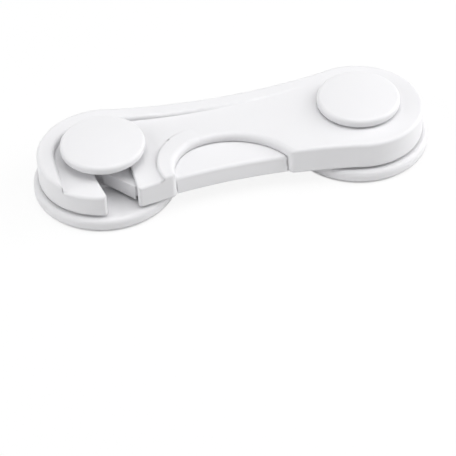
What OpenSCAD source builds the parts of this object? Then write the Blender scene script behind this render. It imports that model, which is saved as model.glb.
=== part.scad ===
// Cabinet safety lock: an arm swings on a stick-on pivot base and hooks round the post of a second
// base. A push button in the arm draws back a wedge-nosed bolt that closes the mouth of the hook.
// The origin lies midway between the posts on the adhesive plane: +X runs to the pivot, +Z is up.

/* [Lock] */
// Distance between the two posts
post_span = 80; // [78:0.5:90]

/* [Bases] */
// Diameter of each stick-on base
base_d = 43.8; // [42.4:0.2:48]
// Thickness of the base plate
base_t = 3.2; // [2.9:0.1:4]
// Rounding of the base plate's top edge
base_edge_r = 1.6; // [0.6:0.1:2.2]
// Diameter of the foam adhesive pad
tape_d = 40; // [30:0.5:42]
// Thickness of the foam adhesive pad
tape_t = 1; // [0.5:0.1:1.6]
// Diameter of the post on each base
post_d = 8.4; // [8:0.1:8.6]
// Diameter of the shoulder that carries the arm
shoulder_d = 13; // [11:0.5:14]
// Height of the shoulder that carries the arm
shoulder_h = 0.9; // [0.6:0.1:1.2]

/* [Caps] */
// Diameter of each cap
cap_d = 25.6; // [20:0.2:28]
// Thickness of the cap at its edge
cap_t = 2.6; // [2.2:0.1:3.4]
// Rise of the cap's crown above its edge
cap_crown = 0.8; // [0.4:0.1:1.4]
// Rounding of the cap's upper edge
cap_edge_r = 1.2; // [0.6:0.1:1.5]
// Rounding of the cap's lower edge
cap_foot_r = 0.6; // [0.2:0.1:0.6]
// Gap between the arm's rim and the caps
cap_gap = 0.6; // [0.4:0.1:1]
// Diameter of the cap's stem inside the post
stem_d = 4.6; // [4:0.1:5]

/* [Arm] */
// Diameter of the arm's round ends
arm_end_d = 40.2; // [39:0.2:42]
// Width of the arm at its waist
arm_waist_w = 31.6; // [31:0.2:33]
// Height of the arm
arm_h = 8.6; // [8.4:0.1:10]
// Thickness of the arm's side walls
arm_wall = 1.7; // [1.4:0.1:1.9]
// Thickness of the arm's roof
roof_t = 1.6; // [1.2:0.1:1.7]
// Rounding of the arm's upper edge
arm_edge_r = 1.1; // [0.5:0.1:1.6]
// Width of the raised rim along the back
rim_w = 5.4; // [4:0.1:6.5]
// Drop of the sunk field below the rim at the latch post
field_drop = 1.7; // [1:0.1:1.8]
// Rounding of the rim's inner edge, above the sunk field
field_edge_r = 1.2; // [0.8:0.1:1.8]
// Length over which the field rises back to the rim
field_run = 66; // [56:1:72]
// Rounding of the upright corners at the mouth of the hook
mouth_corner_r = 1.1; // [0.6:0.1:1.4]
// Thickness of the cover under the arm
cover_t = 1.2; // [1:0.1:1.4]

/* [Finger recess] */
// Radius of the finger recess where it turns forward on the latch's side
recess_r = 13; // [12.6:0.1:13.4]
// Offset of that round from the middle of the arm, towards the latch
recess_shift = 8.3; // [7.6:0.1:9]
// Distance from the arm's centreline to the deepest point of the recess
recess_reach = 2.4; // [1.8:0.1:3]
// Radius of the flatter sweep that carries the recess on towards the pivot
sweep_r = 22.7; // [21.5:0.1:24]
// Turn from the back of the recess, towards the latch, to where the sweep begins
sweep_a = 9; // [6:1:12]
// Rounding of the recess's upper edge
recess_edge_r = 2; // [0.8:0.1:2.2]
// Rounding of the upright corners where the recess opens through the front wall
recess_corner_r = 2.2; // [0.8:0.1:2.4]
// Radius of the crescent lip beside the recess
lip_r = 15.9; // [15:0.1:16.5]
// Rounding of the lip's outer edge
lip_edge_r = 0.8; // [0.4:0.1:1]
// Thickness of the curtain wall below the recess's edge
curtain_t = 1.4; // [1:0.1:1.8]

/* [Mechanism] */
// Travel of the button and of the bolt
travel = 6.4; // [6:0.1:6.5]
// Depth of the button's front skirt
skirt_t = 2.6; // [2:0.1:3]
// Distance that the bolt's tip reaches past the post's axis
bolt_reach = 1.6; // [1:0.1:1.8]
// Angle of the bolt's nose to the arm
nose_angle = 51; // [48:1:54]
// Diameter of the bolt's cam pin
pin_d = 2.4; // [2:0.1:2.6]
// Outer diameter of the button springs
spring_d = 3.6; // [3:0.1:3.7]
// Wire diameter of the button springs
wire_d = 0.6; // [0.4:0.1:0.7]
// Turns of each button spring
spring_turns = 6; // [4:1:7]

/* [Screws] */
// Shank diameter of the cap screws
cap_screw_d = 2.2; // [1.8:0.1:2.4]
// Head diameter of the cap screws
cap_screw_head_d = 5.6; // [4.6:0.1:6]
// Shank diameter of the cover screws
cover_screw_d = 1.7; // [1.4:0.1:1.8]
// Head diameter of the cover screws
cover_screw_head_d = 3.4; // [3:0.1:3.6]

/* [Hidden] */
$fn = 96;

// Shared clearances and the overrun of every cut
over = 0.5;
run_gap = 0.15;
bearing_gap = 0.08;
fit_gap = 0.05;
slide_gap = 0.25;
seat_gap = 0.7;

// Levels, from the adhesive plane upwards
latch_x = -post_span / 2;
pivot_x = post_span / 2;
base_r = base_d / 2;
post_r = post_d / 2;
plate_z = tape_t + base_t;
shoulder_z = plate_z + shoulder_h;
arm_z = shoulder_z + run_gap;
cover_z = arm_z + cover_t;
rim_z = arm_z + arm_h;
cap_z = rim_z + cap_gap;
reach = post_span + base_d;

// Arm outline: two round ends joined by hollow sides; arcs and tilted roundings cross at small angles
half_span = post_span / 2;
end_r = arm_end_d / 2;
waist_h = arm_waist_w / 2;
blend_a = 5;
graze_a = 14;
waist_r = (half_span ^ 2 + waist_h ^ 2 - end_r ^ 2) / (2 * (end_r * cos(blend_a) - waist_h));
waist_c = waist_h + waist_r;
blend_at = atan2(waist_c, half_span);
field_slope = atan(field_drop / field_run);
field_end_x = latch_x + field_run;
crease_r = end_r - rim_w;

// Hook and its mouth
seat_r = post_r + seat_gap;
hook_r = post_span + seat_r;
mouth_w = 2.5;
block_x = latch_x + post_r + mouth_w;
rib_t = 1.6;

// Recess and lip
recess_x = -recess_shift;
recess_y = -recess_r - recess_reach;
recess_at = [recess_x, recess_y];
sweep_at = recess_at + (sweep_r - recess_r) * [sin(sweep_a), -cos(sweep_a)];
sweep_end_x = sweep_at[0] + sqrt(sweep_r ^ 2 - (waist_h + sweep_at[1]) ^ 2);
lip_shift = [-1.8, 3.1];
lip_tilt = 2.5;
lip_turn = 55;
lip_top_shift = [-17.7, 0.4];
split_turn = 3;
corner_far_share = 3;

// Layers of the mechanism between the cover and the roof
layer_gap = 0.2;
lower_z = cover_z + layer_gap;
lower_t = 1.75;
upper_z = lower_z + lower_t + layer_gap;
pad_z = rim_z - field_drop - roof_t - slide_gap;
keel_z = arm_z + layer_gap;
skirt_z = arm_z;
pad_inset = arm_wall + slide_gap;
pad_lap = 1.5;
pad_edge_r = 1.3;
front_lean = 14;

// Bolt and its cam pin
nose_back = seat_r + layer_gap;
nose_blunt = 0.6;
bolt_bulge = 1.2;
bolt_front = waist_h - arm_wall + bolt_bulge;
bolt_tip_x = latch_x - bolt_reach;
nose_run = (bolt_front - nose_back - nose_blunt) / tan(nose_angle);
keel_x = block_x - slide_gap;
body_l = 3.3;
body_x = block_x + body_l;
body_step = 2.3;
plate_x = latch_x + seat_r + rib_t + seat_gap;
pin_r = pin_d / 2;
pin_wall = 1;
pin_x = body_x + body_l;
pin_y = 2;
pin_arm_r = pin_r + pin_wall;

// Button, its wings and the shell's guide peg
slot_gap = 0.15;
slot_r = pin_r + slot_gap;
wing_wall = 1.2;
wing_r = slot_r + wing_wall;
wing_front = pin_y - travel - wing_r;
wing_step_x = pin_x + travel - slot_r;
wing_join = 8.6;
wing_back = pin_y - wing_wall - slot_r / 2;
trim_x = pin_x + pin_arm_r + travel + slide_gap;
trim_y = pin_y - pin_arm_r - travel - slide_gap;
button_off = 4.2;
button_x = recess_x + button_off;
guide_off = 4.6;
guide_past = 4;
guide_arm = 7.5;
guide_x = sweep_end_x + guide_past;
guide_y = -guide_off;
guide_r = pin_r;
pad_from_x = recess_x - recess_r - pad_lap;
pad_to_x = sweep_end_x + pad_lap;
skirt_side = 0.3;
notch_gap = 0.6;

// Springs behind the button
spring_off = 6.4;
spring_xs = [button_x - spring_off, button_x + spring_off];
spring_r = (spring_d - wire_d) / 2;
spring_z = (lower_z + pad_z) / 2;
spring_seat_drop = 0.9;
spring_seat_y = waist_h - arm_wall - spring_seat_drop;
spring_lug_y = -0.4;
spring_lug_w = 4.4;
spring_lug_root = 5;
peg_r = spring_r - wire_d / 2 - slide_gap;
peg_l = 1.6;

// Hub, screw bosses and screws
hub_t = 2.2;
hub_r = post_r + bearing_gap + hub_t;
boss_wall = 1.4;
boss_r = cover_screw_d / 2 + boss_wall;
cover_screw_l = 4.2;
cover_head_t = 0.9;
cap_head_t = 1.7;
cap_screw_l = 8;
head_gap = 0.3;
web_t = 1.5;
cross_w = 0.5;
cross_share = 0.6;
hook_screw_off = [-12.3, 2];
boss_gap = 0.6;
boss_clear = 2.8;
boss_y = waist_h - arm_wall - boss_gap - boss_r;
boss_off = spring_lug_w / 2 + boss_clear + boss_r;
screw_spots = [
    [latch_x, 0] + hook_screw_off,
    [spring_xs[0] - boss_off, boss_y],
    [spring_xs[1] + boss_off, boss_y],
    [guide_x + wing_r + boss_clear + boss_r, -boss_y]
];

// Outline of the arm, drawn in from its edge
module bone(inset) {
    for (x = [latch_x, pivot_x])
        translate([x, 0])
            circle(r = end_r - inset);
    difference() {
        square([2 * (half_span - (end_r - inset) * cos(blend_at)), arm_end_d], center = true);
        for (side = [-1, 1])
            translate([0, side * waist_c])
                circle(r = waist_r + inset);
    }
}

// Profile that rounds an edge whose body lies inside the given radius, crossing both faces at an angle
module round_outside(edge_r, z, r, cross_a = 0) {
    in = r * cos(cross_a);
    difference() {
        translate([edge_r - in, z - in])
            square(in + over);
        translate([edge_r - in, z - in])
            circle(r = r);
    }
}

// Profile that rounds an edge whose body lies beyond the given radius, crossing both faces at an angle
module round_inside(edge_r, z, r, cross_a = 0) {
    in = r * cos(cross_a);
    difference() {
        translate([edge_r - over, z - in])
            square(in + over);
        translate([edge_r + in, z - in])
            circle(r = r);
    }
}

// Solid arm with its upper edge rounded
module arm_body() {
    for (x = [latch_x, pivot_x])
        translate([x, 0, 0])
            rotate_extrude()
                difference() {
                    translate([0, arm_z])
                        square([end_r, arm_h]);
                    round_outside(end_r, rim_z, arm_edge_r);
                }
    difference() {
        block_l = 2 * (half_span - end_r * cos(blend_at));
        translate([-block_l / 2, -end_r, arm_z])
            cube([block_l, arm_end_d, arm_h]);
        for (side = [-1, 1])
            translate([0, side * waist_c, 0])
                rotate_extrude() {
                    translate([0, arm_z - over])
                        square([waist_r, arm_h + 2 * over]);
                    round_inside(waist_r, rim_z, arm_edge_r);
                }
    }
}

// Rounds the front edges of the hook and of the block beside it, on the sunk field
module field_edge_cut() {
    front_x = latch_x - end_r + rim_w;
    lip_x = recess_x + lip_shift[0] - lip_r;
    depth = arm_edge_r * cos(graze_a);
    intersection() {
        on_field([latch_x, 0], depth)
            rotate_extrude()
                round_outside(end_r, 0, arm_edge_r, graze_a);
        translate([front_x, -reach, 0])
            cube([latch_x - front_x, reach, reach]);
    }
    intersection() {
        on_field([0, -waist_c], depth)
            rotate_extrude()
                round_inside(waist_r, 0, arm_edge_r, graze_a);
        translate([latch_x + post_r, -reach, 0])
            cube([lip_x - latch_x - post_r, reach, reach]);
    }
}

// Tilts what is drawn on the ground to lie on the sunk field, about a point of the given depth
module on_field(at, depth) {
    level = rim_z - (field_end_x - at[0]) * field_drop / field_run;
    translate([at[0], at[1], level - depth])
        rotate([0, -field_slope, 0])
            translate([0, 0, depth])
                children();
}

// Tilts what is drawn on the ground to lie on the sloping top of the lip, likewise
module on_lip(at, depth) {
    off = at - recess_at - lip_top_shift;
    level = rim_z - tan(lip_tilt) * (off[0] * cos(lip_turn) + off[1] * sin(lip_turn));
    translate([at[0], at[1], level - depth])
        rotate([0, 0, lip_turn])
            rotate([0, lip_tilt, 0])
                rotate([0, 0, -lip_turn])
                    translate([0, 0, depth])
                        children();
}

// Half-spaces above and below the ground
module above() {
    translate([-reach, -reach, 0])
        cube([2 * reach, 2 * reach, reach]);
}

module below() {
    translate([-reach, -reach, -reach])
        cube([2 * reach, 2 * reach, reach]);
}

// Rounds the rim's inner edge down to the field: round the latch, along its front and the waist
module rim_edge_cut() {
    join_x = latch_x + crease_r * cos(blend_at);
    intersection() {
        on_field([field_end_x, 0], 0) above();
        union() {
            intersection() {
                translate([latch_x, 0, 0])
                    rotate_extrude()
                        round_inside(crease_r, rim_z, field_edge_r, graze_a);
                translate([join_x - reach, 0, 0])
                    cube([reach, reach, reach]);
            }
            translate([latch_x, 0, 0])
                rotate([90, 0, 0])
                    linear_extrude(reach)
                        mirror([1, 0])
                            round_inside(crease_r, rim_z, field_edge_r, graze_a);
            intersection() {
                translate([0, waist_c, 0])
                    rotate_extrude()
                        round_outside(waist_r + rim_w, rim_z, field_edge_r, graze_a);
                translate([join_x, 0, 0])
                    cube([field_end_x - join_x, reach, reach]);
            }
        }
    }
}

// What the sunk field takes out of the arm's top, leaving the rim and the lip
module field_cut() {
    difference() {
        intersection() {
            translate([0, 0, rim_z - arm_h / 2])
                linear_extrude(arm_h) {
                    bone(rim_w);
                    translate([latch_x - crease_r, -reach])
                        square([post_span, reach]);
                }
            on_field([field_end_x, 0], 0) above();
        }
        intersection() {
            translate([recess_x + lip_shift[0], recess_y + lip_shift[1], 0])
                cylinder(r = lip_r, h = rim_z);
            on_lip(recess_at, 0) below();
        }
    }
}

// Mouth and seat of the hook, widened by the given wall
module channel(grow) {
    translate([latch_x, 0])
        circle(r = seat_r + grow);
    intersection() {
        translate([pivot_x, 0])
            circle(r = hook_r + grow);
        union() {
            translate([latch_x - end_r, -seat_r])
                square([end_r + seat_r + grow, seat_r]);
            translate([latch_x - end_r, -reach])
                square([end_r + block_x - latch_x, reach - seat_r]);
        }
    }
}

// Finger recess seen from above, widened by the given wall: a round, and the sweep towards the pivot
module recess_outline(grow) {
    translate(recess_at)
        circle(r = recess_r + grow);
    intersection() {
        translate(sweep_at)
            circle(r = sweep_r + grow);
        translate(recess_at)
            rotate([0, 0, sweep_a])
                translate([0, -reach])
                    square([reach, 2 * reach]);
    }
}

// Rounded edge of the finger recess: the sweep's on the field, the forward turn's on the lip
module recess_edge_cut() {
    depth = recess_edge_r * cos(graze_a);
    intersection() {
        on_field(sweep_at, depth)
            rotate_extrude()
                round_inside(sweep_r, 0, recess_edge_r, graze_a);
        translate(recess_at)
            rotate([0, 0, sweep_a + split_turn])
                translate([0, -reach, 0])
                    cube([reach, 2 * reach, reach]);
    }
    intersection() {
        on_lip(recess_at, depth)
            rotate_extrude()
                round_inside(recess_r, 0, recess_edge_r, graze_a);
        translate(recess_at)
            rotate([0, 0, sweep_a + split_turn])
                translate([-reach, -reach, 0])
                    cube([reach, 2 * reach, reach]);
    }
}

// Rounds the lip's outer edge down to the sunk field
module lip_edge_cut() {
    at = recess_at + lip_shift;
    intersection() {
        on_lip(at, lip_edge_r * cos(graze_a))
            rotate_extrude()
                round_outside(lip_r, 0, lip_edge_r, graze_a);
        on_field([field_end_x, 0], 0) above();
        translate([at[0] - reach, -reach, 0])
            cube([reach, reach, reach]);
    }
}

// Rounds an upright corner: centred on the spot, its faces looking along the two directions
module corner_cut(spot, look, look_too, r) {
    far = corner_far_share * r;
    translate([0, 0, arm_z - over])
        linear_extrude(arm_h + 2 * over)
            difference() {
                polygon([
                    spot,
                    spot + far * look,
                    spot + far * (look + look_too),
                    spot + far * look_too
                ]);
                translate(spot)
                    circle(r = r);
            }
}

// Rounds the two upright corners at the mouth: the tip of the hook, and the block that faces it
module mouth_corner_cut() {
    in = mouth_corner_r * cos(graze_a);
    from_latch = end_r - in;
    from_pivot = hook_r + in;
    tip_x = (from_latch ^ 2 - from_pivot ^ 2) / (2 * post_span);
    tip = [tip_x, -sqrt(from_pivot ^ 2 - (tip_x - pivot_x) ^ 2)];
    corner_cut(
        tip,
        (tip - [latch_x, 0]) / from_latch,
        ([pivot_x, 0] - tip) / from_pivot,
        mouth_corner_r
    );
    from_waist = waist_r + in;
    block = [block_x + in, sqrt(from_waist ^ 2 - (block_x + in) ^ 2) - waist_c];
    corner_cut(block, [-1, 0], ([0, -waist_c] - block) / from_waist, mouth_corner_r);
}

// Rounds the two upright corners where the recess opens through the front wall
module recess_corner_cut() {
    in = recess_corner_r * cos(graze_a);
    from_waist = waist_r + in;
    waist_at = [0, -waist_c];
    for (arc = [[recess_at, recess_r, 1], [sweep_at, sweep_r, -1]]) {
        line = arc[0] - waist_at;
        apart = norm(line);
        along = (from_waist ^ 2 - (arc[1] + in) ^ 2 + apart ^ 2) / (2 * apart);
        aside = arc[2] * sqrt(from_waist ^ 2 - along ^ 2);
        corner = waist_at + (along * line + aside * [-line[1], line[0]]) / apart;
        translate([0, 0, arm_z - over])
            linear_extrude(arm_h + 2 * over)
                difference() {
                    polygon([arc[0], corner, waist_at]);
                    translate(corner)
                        circle(r = recess_corner_r);
                }
    }
}

// Foam pad with adhesive on both faces
module tape(x) {
    translate([x, 0, 0])
        cylinder(d = tape_d, h = tape_t);
}

// Stick-on base: rounded plate, shoulder and hollow post
module base(x) {
    web_z = tape_t + cap_head_t + head_gap;
    translate([x, 0, 0])
        difference() {
            union() {
                rotate_extrude() {
                    translate([0, tape_t])
                        square([base_r, base_t - base_edge_r]);
                    translate([0, tape_t])
                        square([base_r - base_edge_r, base_t]);
                    translate([base_r - base_edge_r, plate_z - base_edge_r])
                        circle(r = base_edge_r);
                }
                translate([0, 0, tape_t])
                    cylinder(d = shoulder_d, h = shoulder_z - tape_t);
                translate([0, 0, tape_t])
                    cylinder(r = post_r, h = cap_z - tape_t);
            }
            translate([0, 0, tape_t - over])
                cylinder(d = cap_screw_head_d + 2 * head_gap, h = web_z - tape_t + over);
            translate([0, 0, tape_t])
                cylinder(r = cap_screw_d / 2 + fit_gap, h = cap_z);
            translate([0, 0, web_z + web_t])
                cylinder(r = stem_d / 2 + fit_gap, h = cap_z);
        }
}

// Cap with a low crown and a stem that plugs into the post
module cap(x) {
    cap_r = cap_d / 2;
    flat_r = cap_r - cap_edge_r;
    crown_r = (flat_r ^ 2 + cap_crown ^ 2) / (2 * cap_crown);
    stem_z = tape_t + cap_head_t + head_gap + web_t + fit_gap;
    translate([x, 0, 0])
        difference() {
            union() {
                rotate_extrude()
                    translate([0, cap_z]) {
                        square([cap_r - cap_foot_r, cap_t - cap_edge_r]);
                        square([flat_r, cap_t]);
                        translate([0, cap_foot_r])
                            square([cap_r, cap_t - cap_edge_r - cap_foot_r]);
                        translate([flat_r, cap_t - cap_edge_r])
                            circle(r = cap_edge_r);
                        translate([cap_r - cap_foot_r, cap_foot_r])
                            circle(r = cap_foot_r);
                        intersection() {
                            translate([0, cap_t + cap_crown - crown_r])
                                circle(r = crown_r);
                            square([flat_r, cap_t + cap_crown]);
                        }
                    }
                translate([0, 0, stem_z])
                    cylinder(d = stem_d, h = cap_z - stem_z + cap_t / 2);
            }
            translate([0, 0, stem_z - over])
                cylinder(r = cap_screw_d / 2 + fit_gap, h = cap_screw_l + over);
        }
}

// Two crossed slots for a driver
module cross_slot(head_d, depth) {
    for (turn = [0, 90])
        rotate([0, 0, turn])
            translate([-head_d * cross_share / 2, -cross_w / 2, -over])
                cube([head_d * cross_share, cross_w, depth + over]);
}

// Pan-head screw that holds cap and base together from below
module cap_screw(x) {
    head_z = tape_t + head_gap;
    translate([x, 0, head_z])
        difference() {
            union() {
                cylinder(d = cap_screw_head_d, h = cap_head_t);
                cylinder(d = cap_screw_d, h = cap_head_t + cap_screw_l);
            }
            cross_slot(cap_screw_head_d, cap_head_t / 2);
        }
}

module pivot_tape() {
    color("gainsboro") tape(pivot_x);
}

module pivot_base() {
    color("whitesmoke") base(pivot_x);
}

module pivot_cap() {
    color("white") cap(pivot_x);
}

module pivot_screw() {
    color("silver") cap_screw(pivot_x);
}

module latch_tape() {
    color("gainsboro") tape(latch_x);
}

module latch_base() {
    color("whitesmoke") base(latch_x);
}

module latch_cap() {
    color("white") cap(latch_x);
}

module latch_screw() {
    color("silver") cap_screw(latch_x);
}

// Hollow of the arm under its sloping roof
module arm_hollow() {
    intersection() {
        translate([0, 0, arm_z - over])
            linear_extrude(arm_h - roof_t + over)
                bone(arm_wall);
        translate([0, 0, -roof_t])
            on_field([field_end_x, 0], 0) below();
    }
}

// Walls, bosses and guides that hang from the roof inside the arm
module arm_fittings() {
    translate([0, 0, arm_z])
        linear_extrude(arm_h)
            intersection() {
                channel(rib_t);
                bone(arm_wall / 2);
            }
    translate([pivot_x, 0, arm_z])
        cylinder(r = hub_r, h = arm_h);
    for (spot = screw_spots)
        translate([spot[0], spot[1], cover_z])
            cylinder(r = boss_r, h = rim_z - cover_z);
    translate([0, 0, cover_z])
        linear_extrude(rim_z - cover_z)
            intersection() {
                bone(arm_wall / 2);
                union() {
                    guide_from = block_x + rib_t;
                    guide_to = pad_from_x - slide_gap;
                    translate([guide_from, -reach])
                        square([guide_to - guide_from, reach - bolt_front - slide_gap]);
                    for (x = spring_xs)
                        translate([x - spring_lug_w / 2, spring_seat_y])
                            square([spring_lug_w, reach]);
                }
            }
    for (x = spring_xs)
        translate([x, spring_seat_y, spring_z])
            rotate([90, 0, 0])
                cylinder(r = peg_r, h = peg_l);
    translate([guide_x, guide_y, lower_z])
        cylinder(r = guide_r, h = rim_z - lower_z);
    translate([0, 0, pad_z + slide_gap])
        linear_extrude(rim_z - pad_z - slide_gap)
            intersection() {
                bone(arm_wall / 2);
                recess_outline(curtain_t);
            }
}

// Moulded upper shell of the arm
module arm_shell() {
    color("white")
        difference() {
            union() {
                difference() {
                    arm_body();
                    arm_hollow();
                }
                arm_fittings();
            }
            field_cut();
            rim_edge_cut();
            field_edge_cut();
            translate([0, 0, arm_z - over])
                linear_extrude(arm_h + 2 * over)
                    channel(0);
            translate([0, 0, arm_z - over])
                linear_extrude(arm_h + 2 * over)
                    recess_outline(0);
            recess_edge_cut();
            recess_corner_cut();
            lip_edge_cut();
            mouth_corner_cut();
            translate([pivot_x, 0, arm_z - over])
                cylinder(r = post_r + bearing_gap, h = arm_h + 2 * over);
            for (spot = screw_spots)
                translate([spot[0], spot[1], cover_z - over])
                    cylinder(r = cover_screw_d / 2 + fit_gap, h = cover_screw_l + over);
        }
}

// Plate that closes the arm from below
module arm_cover() {
    notch_y = -waist_h + pad_inset + skirt_t + travel + notch_gap;
    color("whitesmoke")
        difference() {
            translate([0, 0, arm_z])
                linear_extrude(cover_t)
                    difference() {
                        bone(arm_wall + fit_gap);
                        channel(rib_t + fit_gap);
                        translate([pivot_x, 0])
                            circle(r = hub_r + fit_gap);
                        translate([pad_from_x, -reach])
                            square([pad_to_x - pad_from_x, reach + notch_y]);
                        translate([block_x - over, -reach])
                            square([travel + over, reach - nose_back + slide_gap]);
                    }
            for (spot = screw_spots)
                translate([spot[0], spot[1], arm_z]) {
                    translate([0, 0, -over])
                        cylinder(r = cover_screw_d / 2 + fit_gap, h = cover_t + 2 * over);
                    cylinder(
                        r1 = cover_screw_head_d / 2 + fit_gap,
                        r2 = cover_screw_d / 2 + fit_gap,
                        h = cover_head_t
                    );
                }
        }
}

// Countersunk screws that hold the cover
module cover_screws() {
    color("silver")
        for (spot = screw_spots)
            translate([spot[0], spot[1], arm_z])
                difference() {
                    union() {
                        cylinder(
                            r1 = cover_screw_head_d / 2,
                            r2 = cover_screw_d / 2,
                            h = cover_head_t
                        );
                        cylinder(d = cover_screw_d, h = cover_screw_l);
                    }
                    cross_slot(cover_screw_head_d, cover_head_t / 2);
                }
}

// Front of the button where it fills the opening of the recess, seen from above
module button_front() {
    intersection() {
        bone(0);
        recess_outline(-skirt_side);
    }
}

// Finger pad of the button, seen from above
module pad_outline() {
    button_front();
    intersection() {
        bone(pad_inset);
        union() {
            recess_outline(pad_lap);
            translate([sweep_end_x - pad_lap, -reach])
                square([2 * pad_lap, reach + guide_y - travel]);
        }
    }
}

// Section of what is cut off the button's front: the face leans forward below its rounded edge
module front_profile() {
    front_r = waist_r + pad_inset;
    bend_z = pad_z - pad_edge_r;
    foot_z = skirt_z - over;
    round_inside(front_r, pad_z, pad_edge_r);
    polygon([
        [waist_r - over, foot_z],
        [front_r - (bend_z - foot_z) * tan(front_lean), foot_z],
        [front_r, bend_z],
        [front_r, pad_z + over],
        [waist_r - over, pad_z + over]
    ]);
}

// Slot along which a pin of the given half-width runs
module slot(from, to, r) {
    run = to - from;
    for (at = [from, to])
        translate(at)
            circle(r = r);
    translate(from)
        rotate([0, 0, atan2(run[1], run[0])])
            translate([0, -r])
                square([norm(run), 2 * r]);
}

// Push button with its pad, skirt, slotted wing and guide wing
module release_button() {
    wing_x = pin_x - wing_r;
    guide_wing_x = guide_x + wing_r;
    guide_wing_from = guide_x - guide_arm;
    color("white")
        difference() {
            union() {
                translate([0, 0, lower_z])
                    linear_extrude(pad_z - lower_z) {
                        difference() {
                            pad_outline();
                            translate([trim_x - reach, trim_y])
                                square([reach, reach]);
                        }
                        translate([guide_wing_from, guide_y - travel - wing_r])
                            square([guide_wing_x - guide_wing_from, travel + 2 * wing_r]);
                        for (x = spring_xs)
                            translate([x - spring_lug_w / 2, spring_lug_y - spring_lug_root])
                                square([spring_lug_w, spring_lug_root]);
                    }
                translate([0, 0, upper_z])
                    linear_extrude(pad_z - upper_z) {
                        pad_outline();
                        translate([wing_x, wing_front])
                            square([wing_step_x - wing_x, pin_y + wing_r - wing_front]);
                        translate([wing_x, wing_front])
                            square([button_x - wing_join - wing_x, wing_back - wing_front]);
                    }
                translate([0, 0, skirt_z])
                    linear_extrude(lower_z - skirt_z)
                        difference() {
                            button_front();
                            bone(pad_inset + skirt_t);
                        }
                for (x = spring_xs)
                    translate([x, spring_lug_y, spring_z])
                        rotate([-90, 0, 0])
                            cylinder(r = peg_r, h = peg_l);
            }
            translate([0, -waist_c, 0])
                rotate_extrude()
                    front_profile();
            translate([0, 0, upper_z - over])
                linear_extrude(pad_z - upper_z + 2 * over)
                    slot([pin_x, pin_y], [pin_x + travel, pin_y - travel], slot_r);
            translate([0, 0, lower_z - over])
                linear_extrude(pad_z - lower_z + 2 * over)
                    slot([guide_x, guide_y], [guide_x, guide_y - travel], guide_r + slide_gap);
        }
}

// Sliding bolt: wedge nose, keel, plate and cam pin
module latch_bolt() {
    nose_x = bolt_tip_x + nose_run;
    color("whitesmoke") {
        translate([0, 0, lower_z])
            linear_extrude(pad_z - lower_z)
                polygon([
                    [bolt_tip_x, -nose_back],
                    [bolt_tip_x, -nose_back - nose_blunt],
                    [nose_x, -bolt_front],
                    [body_x, -bolt_front],
                    [body_x, -nose_back - body_step],
                    [keel_x, -nose_back - body_step],
                    [keel_x, -nose_back]
                ]);
        translate([0, 0, keel_z])
            linear_extrude(lower_z - keel_z)
                polygon([
                    [bolt_tip_x, -nose_back],
                    [bolt_tip_x, -nose_back - nose_blunt],
                    [nose_x, -bolt_front],
                    [keel_x, -bolt_front],
                    [keel_x, -nose_back]
                ]);
        translate([0, 0, lower_z])
            linear_extrude(lower_t) {
                translate([plate_x, -bolt_front])
                    square([body_x - plate_x, bolt_front + pin_y + pin_arm_r]);
                translate([plate_x, -nose_back - body_step])
                    mirror([1, 0])
                        square([plate_x - keel_x + body_step, body_step]);
                translate([plate_x, pin_y - pin_arm_r])
                    square([pin_x - plate_x, 2 * pin_arm_r]);
                translate([pin_x, pin_y])
                    circle(r = pin_arm_r);
            }
        translate([pin_x, pin_y, lower_z])
            cylinder(r = pin_r, h = pad_z - lower_z);
    }
}

// Compression spring wound along Z from the origin
module coil(length) {
    steps = 8;
    sides = 6;
    rings = spring_turns * steps;
    rise = (length - wire_d) / rings;
    wire_r = wire_d / 2;
    step_a = 360 / steps;
    line = [
        for (i = [0:rings])
            [spring_r * cos(i * step_a), spring_r * sin(i * step_a), i * rise]
    ];
    half_turn = steps / 2;
    gaps = [
        for (i = [0:rings - half_turn])
            for (j = [i + half_turn:rings])
                norm(line[j] - line[i]) - wire_d
    ];
    echo(least_gap_of_spring_to_itself = min(gaps));
    tilt = atan2(rise * steps, 2 * PI * spring_r);
    points = [
        for (i = [0:rings])
            for (k = [0:sides - 1])
                let (
                    turn = i * step_a,
                    a = k * 360 / sides,
                    out = spring_r + wire_r * cos(a),
                    side = -wire_r * sin(a) * sin(tilt)
                )
                [
                    out * cos(turn) - side * sin(turn),
                    out * sin(turn) + side * cos(turn),
                    wire_r + i * rise + wire_r * sin(a) * cos(tilt)
                ]
    ];
    walls = [
        for (i = [0:rings - 1])
            for (k = [0:sides - 1])
                let (
                    a = i * sides + k,
                    b = i * sides + (k + 1) % sides
                )
                each [[a, a + sides, b], [b, a + sides, b + sides]]
    ];
    last = rings * sides;
    ends = [
        for (k = [1:sides - 2])
            each [[0, k, k + 1], [last, last + k + 1, last + k]]
    ];
    polyhedron(points = points, faces = concat(walls, ends));
}

// One spring between the button's lug and its seat on the back wall
module button_spring(x) {
    translate([x, spring_lug_y + fit_gap, spring_z])
        rotate([-90, 0, 0])
            coil(spring_seat_y - spring_lug_y - 2 * fit_gap);
}

module left_spring() {
    color("silver") button_spring(spring_xs[0]);
}

module right_spring() {
    color("silver") button_spring(spring_xs[1]);
}

pivot_tape();
pivot_base();
pivot_cap();
pivot_screw();
latch_tape();
latch_base();
latch_cap();
latch_screw();
arm_shell();
arm_cover();
cover_screws();
release_button();
latch_bolt();
left_spring();
right_spring();
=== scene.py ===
import math

import bpy
from mathutils import Matrix, Vector


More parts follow.
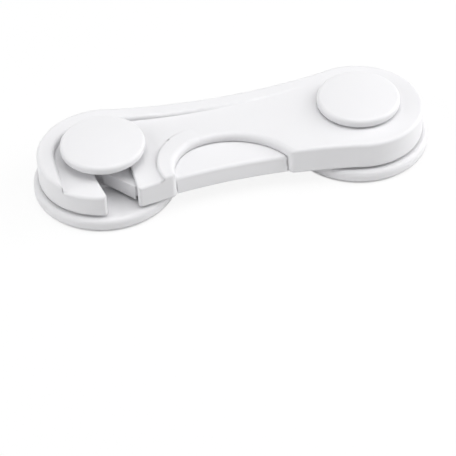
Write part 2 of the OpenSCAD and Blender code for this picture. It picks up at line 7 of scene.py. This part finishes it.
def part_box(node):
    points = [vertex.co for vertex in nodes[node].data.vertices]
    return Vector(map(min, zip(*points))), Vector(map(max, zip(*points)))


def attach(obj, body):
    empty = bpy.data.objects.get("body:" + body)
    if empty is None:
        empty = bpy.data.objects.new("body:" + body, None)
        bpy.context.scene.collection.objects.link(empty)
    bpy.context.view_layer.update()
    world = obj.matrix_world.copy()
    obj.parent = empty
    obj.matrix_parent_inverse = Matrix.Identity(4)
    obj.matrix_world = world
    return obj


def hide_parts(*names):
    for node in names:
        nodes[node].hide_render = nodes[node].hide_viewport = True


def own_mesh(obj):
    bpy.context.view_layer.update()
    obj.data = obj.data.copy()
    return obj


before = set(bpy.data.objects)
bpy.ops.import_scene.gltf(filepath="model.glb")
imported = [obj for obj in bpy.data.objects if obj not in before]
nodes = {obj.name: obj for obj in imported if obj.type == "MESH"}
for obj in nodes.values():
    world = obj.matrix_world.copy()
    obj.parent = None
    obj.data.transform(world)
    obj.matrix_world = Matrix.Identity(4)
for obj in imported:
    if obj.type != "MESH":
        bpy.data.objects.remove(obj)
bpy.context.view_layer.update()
scene = bpy.context.scene
scene.view_settings.view_transform = "Standard"
print("frame loaded:", len(nodes), "nodes")

# The camera stands where the photograph was taken from, found from the bases and caps
shot = {
    "azimuth": -13.01,
    "elevation": 42.49,
    "roll": -1.89,
    "focal": 1623.0,  # in pixels
    "distance": 0.497,
    "target": (0.0, 0.0, 0.008),
    "pixel": (232.7, 141.0),  # where the target lies in the picture
    "frame": 456,
    "sensor": 36.0,
    "clip": (0.01, 10.0),
}


def outward(azimuth, elevation):
    flat = math.cos(elevation)
    return Vector((math.cos(azimuth) * flat, math.sin(azimuth) * flat, math.sin(elevation)))


def placeCamera(s):
    az, el, roll = (math.radians(s[key]) for key in ("azimuth", "elevation", "roll"))
    back = outward(az - math.pi / 2, el)
    level = Vector((math.cos(az), math.sin(az), 0.0))
    upright = back.cross(level)
    right = level * math.cos(roll) + upright * math.sin(roll)
    up = upright * math.cos(roll) - level * math.sin(roll)
    middle = s["frame"] / 2
    aside = (s["pixel"][0] - middle) / s["focal"] * s["distance"]
    above = (middle - s["pixel"][1]) / s["focal"] * s["distance"]
    spot = Vector(s["target"]) - aside * right - above * up + s["distance"] * back
    data = bpy.data.cameras.new("photoCamera")
    data.sensor_width = s["sensor"]
    data.lens = s["focal"] / s["frame"] * s["sensor"]
    data.clip_start, data.clip_end = s["clip"]
    camera = bpy.data.objects.new("photoCamera", data)
    turned = Matrix((right, up, back)).transposed().to_4x4()
    camera.matrix_world = Matrix.Translation(spot) @ turned
    scene.collection.objects.link(camera)
    scene.camera = camera


placeCamera(shot)
print("camera placed")


# A shader value: Python maths on it adds Math nodes
class Value:
    def __init__(self, finish, socket):
        self.finish = finish
        self.socket = socket

    def combine(self, operation, first, second):
        return self.finish.add("ShaderNodeMath", {"operation": operation}, [first, second])

    def __add__(self, other):
        return self.combine("ADD", self, other)

    def __radd__(self, other):
        return self.combine("ADD", other, self)

    def __sub__(self, other):
        return self.combine("SUBTRACT", self, other)

    def __rsub__(self, other):
        return self.combine("SUBTRACT", other, self)

    def __mul__(self, other):
        return self.combine("MULTIPLY", self, other)

    def __rmul__(self, other):
        return self.combine("MULTIPLY", other, self)


# A node tree and the nodes that feed its shader
class Finish:
    def __init__(self, owner, shader="Principled BSDF"):
        owner.use_nodes = True
        self.owner = owner
        self.tree = owner.node_tree
        self.shader = self.tree.nodes[shader]

    def feed(self, socket, value):
        if isinstance(value, Value):
            self.tree.links.new(value.socket, socket)
        else:
            socket.default_value = value

    def add(self, kind, settings=None, inputs=None, output=0):
        node = self.tree.nodes.new(kind)
        for key, value in (settings or {}).items():
            if key == "stops":
                for stop, (at, colour) in zip(node.color_ramp.elements, value):
                    stop.position, stop.color = at, colour
            else:
                setattr(node, key, value)
        pairs = enumerate(inputs) if isinstance(inputs, list) else (inputs or {}).items()
        for key, value in pairs:
            self.feed(node.inputs[key], value)
        return Value(self, node.outputs[output])

    def place(self):
        return self.add("ShaderNodeTexCoord", output="Object")

    def noise(self, scale, detail=2.0, roughness=0.5, at=None):
        inputs = {"Scale": scale, "Detail": detail, "Roughness": roughness}
        inputs["Vector"] = at or self.place()
        return self.add("ShaderNodeTexNoise", inputs=inputs)

    def cells(self, scale):
        inputs = {"Vector": self.place(), "Scale": scale}
        return self.add("ShaderNodeTexVoronoi", inputs=inputs)

    def ramp(self, value, stops):
        return self.add("ShaderNodeValToRGB", {"stops": stops}, {"Fac": value})

    def mix(self, factor, first, second):
        inputs = {0: factor, 6: first, 7: second}
        return self.add("ShaderNodeMix", {"data_type": "RGBA"}, inputs, output=2)

    def bump(self, height, strength, distance, normal=None):
        inputs = {"Height": height, "Strength": strength, "Distance": distance}
        if normal is not None:
            inputs["Normal"] = normal
        return self.add("ShaderNodeBump", inputs=inputs)

    # 1 for what the camera sees, itself or in a reflection or through glass
    def seen(self):
        rays = [f"Is {ray} Ray" for ray in ("Camera", "Glossy", "Transmission")]
        camera, glossy, clear = (self.add("ShaderNodeLightPath", output=ray) for ray in rays)
        settings = {"operation": "ADD", "use_clamp": True}
        return self.add("ShaderNodeMath", settings, [camera + glossy, clear])

    # 1 outside a radius round an upright axis, the lower value within it
    def beyond(self, axis, radius, edge, within):
        kind = "ShaderNodeVectorMath"
        flat = self.add(kind, {"operation": "MULTIPLY"}, [self.place(), (1.0, 1.0, 0.0)])
        centre = (axis.x, axis.y, 0.0)
        away = self.add(kind, {"operation": "DISTANCE"}, [flat, centre], output="Value")
        span = {"Value": away, "To Min": within}
        span["From Min"], span["From Max"] = radius - edge, radius + edge
        return self.add("ShaderNodeMapRange", {"interpolation_type": "SMOOTHSTEP"}, span)

    # Shader sockets by name, with _ for a space
    def set(self, **values):
        for name, value in values.items():
            self.feed(self.shader.inputs[name.replace("_", " ")], value)

    # Lays another shader over this one
    def cover(self, factor, shader):
        own = Value(self, self.shader.outputs[0])
        both = self.add("ShaderNodeMixShader", inputs=[factor, own, shader])
        self.feed(self.tree.nodes["Material Output"].inputs["Surface"], both)


def newFinish(name):
    return Finish(bpy.data.materials.new(name))


def grey(level, tint=(1.0, 1.0, 1.0)):
    return (level * tint[0], level * tint[1], level * tint[2], 1.0)


# Satin white mouldings: spark-eroded grain, faint flow shading, softened corners
moulded = {
    "tint": (0.985, 0.982, 1.0),
    "spread": 0.03,  # how far the flow marks shade the colour
    "flowScale": 45.0,
    "grainScale": 4200.0,
    "pitScale": 1300.0,
    "grainDepth": 0.00003,
    "grainDetail": (2.0, 0.6),
    "flowDetail": 3.0,
    "relief": (0.7, 0.3),  # shares of grain and pits
    "gloss": (0.06, 0.04),  # how far grain and flow marks vary the roughness
    "cornerSamples": 8,
    "ior": 1.5,
    # level, roughness, strength of the grain, rounding of the corners
    "shell": (0.815, 0.44, 0.08, 0.0009),
    "cap": (0.82, 0.38, 0.06, 0.0007),
    "base": (0.80, 0.46, 0.08, 0.0011),
    "button": (0.825, 0.40, 0.06, 0.00035),
    "bolt": (0.79, 0.34, 0.05, 0.00035),
    "cover": (0.80, 0.50, 0.10, 0.00035),
}


def moulding(piece):
    s = moulded
    level, roughness, strength, rounding = s[piece]
    finish = newFinish(piece + "White")
    flow = finish.noise(s["flowScale"], s["flowDetail"])
    grain = finish.noise(s["grainScale"], *s["grainDetail"])
    pits = finish.noise(s["pitScale"])
    dark = grey(level - s["spread"] / 2, s["tint"])
    light = grey(level + s["spread"] / 2, s["tint"])
    corner = finish.add("ShaderNodeBevel", {"samples": s["cornerSamples"]}, {"Radius": rounding})
    (grainPart, pitPart), (grainGloss, flowGloss) = s["relief"], s["gloss"]
    height = grainPart * grain + pitPart * pits
    middle = roughness - (grainGloss + flowGloss) / 2
    finish.set(
        Base_Color=finish.mix(flow, dark, light),
        Roughness=middle + grainGloss * grain + flowGloss * flow,
        Normal=finish.bump(height, strength, s["grainDepth"], corner),
        IOR=s["ior"],
    )
    return finish.owner


# Bright zinc on the screws, drawn wire in the springs
metals = {
    "zinc": (0.62, 0.63, 0.65),
    "zincShades": (0.92, 1.12),
    "speckScale": 900.0,
    "speckDetail": (4.0, 0.65),
    "cloudScale": 130.0,
    "zincRoughness": (0.24, 0.18),  # least, and how far the specks add to it
    "zincBump": (0.12, 0.00003),  # strength, depth
    "wire": (0.50, 0.51, 0.53),
    "wireShades": (0.85, 1.15),
    "drawing": (260.0, 2600.0, 2600.0),
    "drawingDetail": 3.0,
    "wireRoughness": (0.26, 0.16),
    "wireBump": (0.1, 0.00002),
}


def metal(colour, shades, tone, marks, roughness, relief):
    dark, light = (grey(shade, colour) for shade in shades)
    least, added = roughness
    tone.finish.set(
        Base_Color=tone.finish.mix(tone, dark, light),
        Metallic=1.0,
        Roughness=least + added * marks,
        Normal=tone.finish.bump(marks, *relief),
    )
    return tone.finish.owner


def zincPlate(s):
    finish = newFinish("zincPlate")
    speck = finish.noise(s["speckScale"], *s["speckDetail"])
    cloud = finish.noise(s["cloudScale"])
    return metal(s["zinc"], s["zincShades"], cloud, speck, s["zincRoughness"], s["zincBump"])


def drawnWire(s):
    finish = newFinish("drawnWire")
    inputs = {"Vector": finish.place(), "Scale": s["drawing"]}
    along = finish.add("ShaderNodeMapping", inputs=inputs)
    lines = finish.noise(1.0, s["drawingDetail"], at=along)
    return metal(s["wire"], s["wireShades"], lines, lines, s["wireRoughness"], s["wireBump"])


shellWhite, capWhite, baseWhite = moulding("shell"), moulding("cap"), moulding("base")
steelZinc = zincPlate(metals)
dressing = {
    "arm_shell": shellWhite,
    "arm_cover": moulding("cover"),
    "release_button": moulding("button"),
    "latch_bolt": moulding("bolt"),
    "latch_cap": capWhite,
    "pivot_cap": capWhite,
    "latch_base": baseWhite,
    "pivot_base": baseWhite,
    "latch_screw": steelZinc,
    "pivot_screw": steelZinc,
    "cover_screws": steelZinc,
}
for name, material in dressing.items():
    nodes[name].data.materials.clear()
    nodes[name].data.materials.append(material)
print("mouldings and screws dressed")


def addPiece(name, points, faces, material, body, node):
    mesh = bpy.data.meshes.new(name)
    mesh.from_pydata(points, [], faces)
    mesh.materials.append(material)
    mesh.shade_smooth()
    piece = bpy.data.objects.new(name, mesh)
    scene.collection.objects.link(piece)
    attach(piece, body)
    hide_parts(node)
    return piece


# Quads between rings of points that follow one another
def ringFaces(rings, count):
    faces = []
    for a in range(0, (rings - 1) * count, count):
        b = a + count
        faces += [(a + k, a + (k + 1) % count, b + (k + 1) % count, b + k) for k in range(count)]
    return faces


# Closed-cell foam pads: flat faces, a bowed and slightly uneven cut rim, cells cut open, with
# painted shade in the open cells
foam = {
    "light": (0.80, 0.80, 0.79, 1.0),
    # painted shade: the darker colour stands for the shade that falls into the open cells
    "cellPitShade": (0.60, 0.60, 0.59, 1.0),
    "cells": [(2600.0, 0.6), (1100.0, 0.4)],  # scale, share
    "cellStops": (0.08, 0.5),
    "roughness": (0.82, 0.12),
    "relief": (0.45, 0.00012),
    "faceShares": (0.35, 0.7, 0.94, 0.986),
    "rimSteps": 7,
    "bow": 0.0002,
    "ripple": 0.00004,
    "rippleCounts": (7, 19),
    "rippleTurns": (1.3, 3.0),
    "rippleFade": 8,  # the ripple dies out this fast inwards
    "segments": 160,
    "fill": 0.9,
    "pads": [
        ("pivotFoam", "pivot_tape", "pivot_mount"),
        ("latchFoam", "latch_tape", "latch_mount"),
    ],
}


def foamFinish(s):
    finish = newFinish("closedCellFoam")
    small, large = (share * finish.cells(scale) for scale, share in s["cells"])
    cells = small + large
    least, added = s["roughness"]
    finish.set(
        # painted shade: the colour darkens towards the middle of each cell, where the bump sinks
        # a pit
        Base_Color=finish.ramp(cells, list(zip(s["cellStops"], (s["cellPitShade"], s["light"])))),
        Roughness=least + added * cells,
        Normal=finish.bump(cells, *s["relief"]),
    )
    return finish.owner


def foamPad(s, name, node, body, material):
    low, high = (Vector(corner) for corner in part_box(node))
    middle, radius, thick = (low + high) / 2, (high.x - low.x) / 2, high.z - low.z
    section = [(radius * share, 0.0) for share in s["faceShares"]]
    for step in range(s["rimSteps"]):
        t = (step + 0.5) / s["rimSteps"]
        section.append((radius - s["bow"] * (2 * t - 1) ** 2, t))
    section += [(radius * share, 1.0) for share in reversed(s["faceShares"])]
    points, count = [], s["segments"]
    (longCount, shortCount), (longTurn, shortTurn) = s["rippleCounts"], s["rippleTurns"]
    for r, level in section:
        for k in range(count):
            turn = 2 * math.pi * k / count
            wave = 2 + math.sin(longCount * turn + longTurn)
            wave += math.sin(shortCount * turn + shortTurn * level)
            cut = r - s["ripple"] * wave * (r / radius) ** s["rippleFade"]
            x, y = middle.x + cut * math.cos(turn), middle.y + cut * math.sin(turn)
            points.append((x, y, low.z + thick * level))
    faces = ringFaces(len(section), count)
    bottom, top = len(points), len(points) + 1
    points += [(middle.x, middle.y, low.z), (middle.x, middle.y, high.z)]
    last = (len(section) - 1) * count
    faces += [(bottom, (k + 1) % count, k) for k in range(count)]
    faces += [(top, last + k, last + (k + 1) % count) for k in range(count)]
    pad = addPiece(name, points, faces, material, body, node)


foamWhite = foamFinish(foam)
for padName, padNode, padBody in foam["pads"]:
    foamPad(foam, padName, padNode, padBody, foamWhite)
print("foam pads cut")

# Springs of round wire with closed ends
spring = {
    "wire": 0.00030,  # radius of the wire
    "turns": 6,
    "closedTurns": 0.75,  # at each end, laid flat
    "steps": 26,  # per turn
    "sides": 10,
    "ease": 0.35,  # how far the pitch eases off at the ends
    "travel": 0.0064,
    "slack": 0.00005,
    "springs": [("leftCoil", "left_spring"), ("rightCoil", "right_spring")],
}


def springCoil(s, name, node, material):
    low, high = (Vector(corner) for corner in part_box(node))
    middle, length = (low + high) / 2, high.y - low.y
    coil = (high.x - low.x) / 2 - s["wire"]
    rings = int(s["turns"] * s["steps"]) + 1
    flat = s["closedTurns"] / s["turns"]
    rise = length - 4 * s["wire"] - 4 * s["slack"]
    path = []
    for i in range(rings):
        share = i / (rings - 1)
        climb = min(max((share - flat) / (1 - 2 * flat), 0.0), 1.0)
        climb += s["ease"] * (climb * climb * (3 - 2 * climb) - climb)
        settle = s["wire"] * (min(share / flat, 1.0) + max((share - 1 + flat) / flat, 0.0))
        y = low.y + s["wire"] + s["slack"] + settle + rise * climb
        turn = 2 * math.pi * s["turns"] * share
        x, z = middle.x + coil * math.cos(turn), middle.z + coil * math.sin(turn)
        path.append(Vector((x, y, z)))
    points = []
    for i, at in enumerate(path):
        ahead = (path[min(i + 1, rings - 1)] - path[max(i - 1, 0)]).normalized()
        out = Vector((at.x - middle.x, 0.0, at.z - middle.z)).normalized()
        across = ahead.cross(out).normalized()
        for k in range(s["sides"]):
            a = 2 * math.pi * k / s["sides"]
            points.append(at + s["wire"] * (math.cos(a) * out + math.sin(a) * across))
    faces = ringFaces(rings, s["sides"])
    faces.append(tuple(reversed(range(s["sides"]))))
    faces.append(tuple(range((rings - 1) * s["sides"], rings * s["sides"])))
    piece = addPiece(name, points, faces, material, "arm", node)
    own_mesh(piece)


wireSteel = drawnWire(metals)
for springName, springNode in spring["springs"]:
    springCoil(spring, springName, springNode, wireSteel)
print("springs wound")

# Pale floor and plain soft light: panels from above and both sides, the stronger from the right
studio = {
    "floorSize": 3.0,
    "floorZ": -0.0001,  # a hair below the pads
    "floorLevel": 0.93,
    "floorRoughness": 0.9,
    "floorGlow": 0.88,  # how far the floor is washed out to white where it is seen
    "footRadius": 0.0212,  # painted shade: not washed out in a disc under each base, so the floor stays darker there and the bases' edges stand in their own shadow
    "footEdge": 0.0004,
    "footWash": 0.15,  # what is left of the wash there
    "feet": ("pivot_tape", "latch_tape"),
    "worldLevel": 0.044,
    "panelSize": 0.7,
    "panelReach": 0.95,
    "panels": [
        # name, azimuth from +X, elevation, watts
        ("topPanel", 0, 90, 4.8),
        ("rightPanel", 0, 15, 3.4),
        ("highRightPanel", 0, 40, 3.3),
        ("leftPanel", 180, 30, 4.2),
        ("frontPanel", -45, 45, 1.7),
    ],
}


def buildStudio(s):
    h = s["floorSize"] / 2
    mesh = bpy.data.meshes.new("floor")
    corners = [(x, y, s["floorZ"]) for x, y in ((-h, -h), (h, -h), (h, h), (-h, h))]
    mesh.from_pydata(corners, [], [(0, 1, 2, 3)])
    floor = bpy.data.objects.new("floor", mesh)
    scene.collection.objects.link(floor)
    paper = newFinish("palePaper")
    paper.set(Base_Color=grey(s["floorLevel"]), Roughness=s["floorRoughness"])
    glow = paper.add("ShaderNodeEmission", inputs={"Color": grey(1.0), "Strength": 1.0})
    washed = s["floorGlow"] * paper.seen()
    # painted shade: the floor is washed out less within the discs under the bases, so their
    # shadow shows darker there
    foot = s["footRadius"], s["footEdge"], s["footWash"]
    for node in s["feet"]:
        low, high = (Vector(corner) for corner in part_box(node))
        washed = washed * paper.beyond((low + high) / 2, *foot)
    paper.cover(washed, glow)
    mesh.materials.append(paper.owner)
    world = bpy.data.worlds.new("softWhite")
    scene.world = world
    sky = Finish(world, "Background")
    level = s["worldLevel"]
    sky.set(Color=grey(1.0), Strength=level + (1 - level) * sky.seen())
    for name, azimuth, elevation, watts in s["panels"]:
        aim = outward(math.radians(azimuth), math.radians(elevation))
        data = bpy.data.lights.new(name, "AREA")
        data.energy, data.size = watts, s["panelSize"]
        lamp = bpy.data.objects.new(name, data)
        lamp.location = s["panelReach"] * aim
        lamp.rotation_euler = aim.to_track_quat("Z", "Y").to_euler()
        scene.collection.objects.link(lamp)


buildStudio(studio)
print("studio lit")
